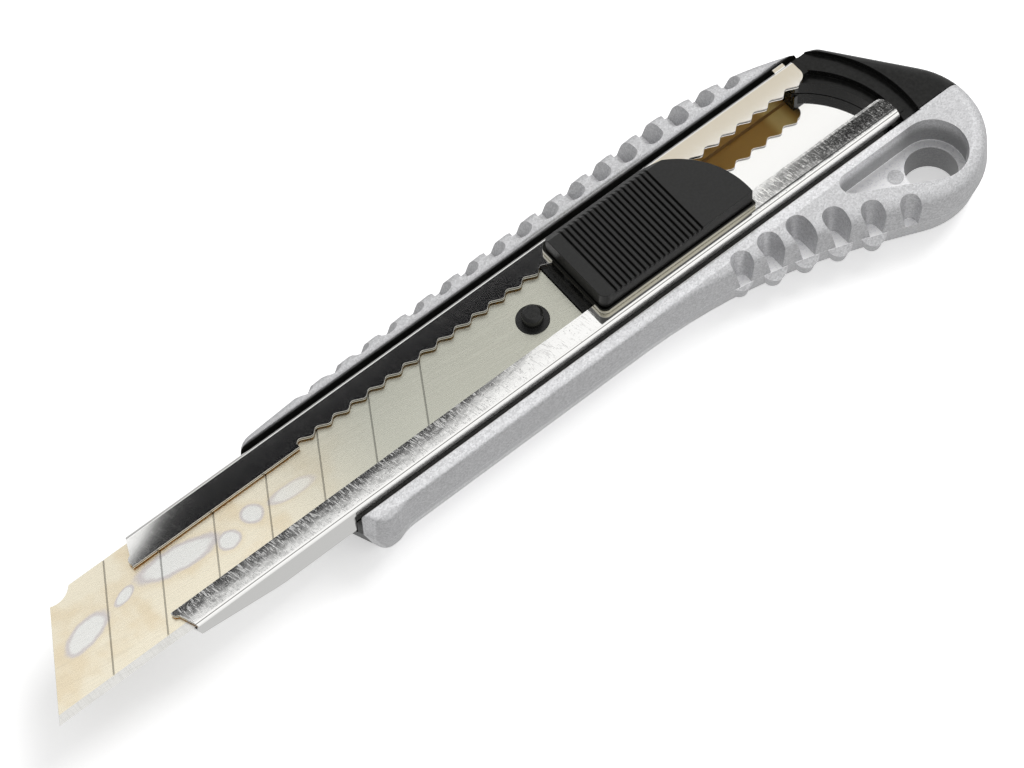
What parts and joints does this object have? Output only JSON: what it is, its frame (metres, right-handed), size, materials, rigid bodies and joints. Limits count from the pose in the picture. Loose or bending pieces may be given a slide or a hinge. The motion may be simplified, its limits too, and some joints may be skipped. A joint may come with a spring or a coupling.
{
  "type": "utility knife",
  "caption": "18 mm snap-off utility knife: fluted die-cast handle, serrated steel blade channel, ribbed lock slider, scored blade and pull-off end cap",
  "frame": {"origin": "on the flat back of the handle, under the channel's centre line, half way along the handle", "axes": "+X from the blade tip to the tail, +Y to the spine side, away from the cutting edge, +Z from the back to the slider"},
  "size_m": [0.1775, 0.0432, 0.0168],
  "materials": {
    "silver_lacquer": "silver lacquer with fine flakes over a die-casting",
    "plated_steel": "bright zinc-nickel plating on pressed steel",
    "black_plastic": "satin black moulding",
    "spring_steel": "bright rolled spring steel",
    "blade_steel": "tempered carbon steel with straw temper colours"
  },
  "bodies": {
    "handle": {"handle_body": "silver_lacquer", "blade_channel": "plated_steel"},
    "slider": {"slider_button": "black_plastic", "slider_plate": "plated_steel", "blade_holder": "black_plastic", "lock_spring": "spring_steel", "snap_off_blade": "blade_steel"},
    "cap": {"end_cap": "black_plastic"}
  },
  "joints": [
    {"name": "slider_slide", "type": "slide", "parent": "handle", "child": "slider", "axis": [1, 0, 0], "range_m": [-0.0513, 0.02736], "deforming": ["lock_spring"]},
    {"name": "cap_pull", "type": "slide", "parent": "handle", "child": "cap", "axis": [1, 0, 0], "range_m": [0, 0.018]}
  ]
}
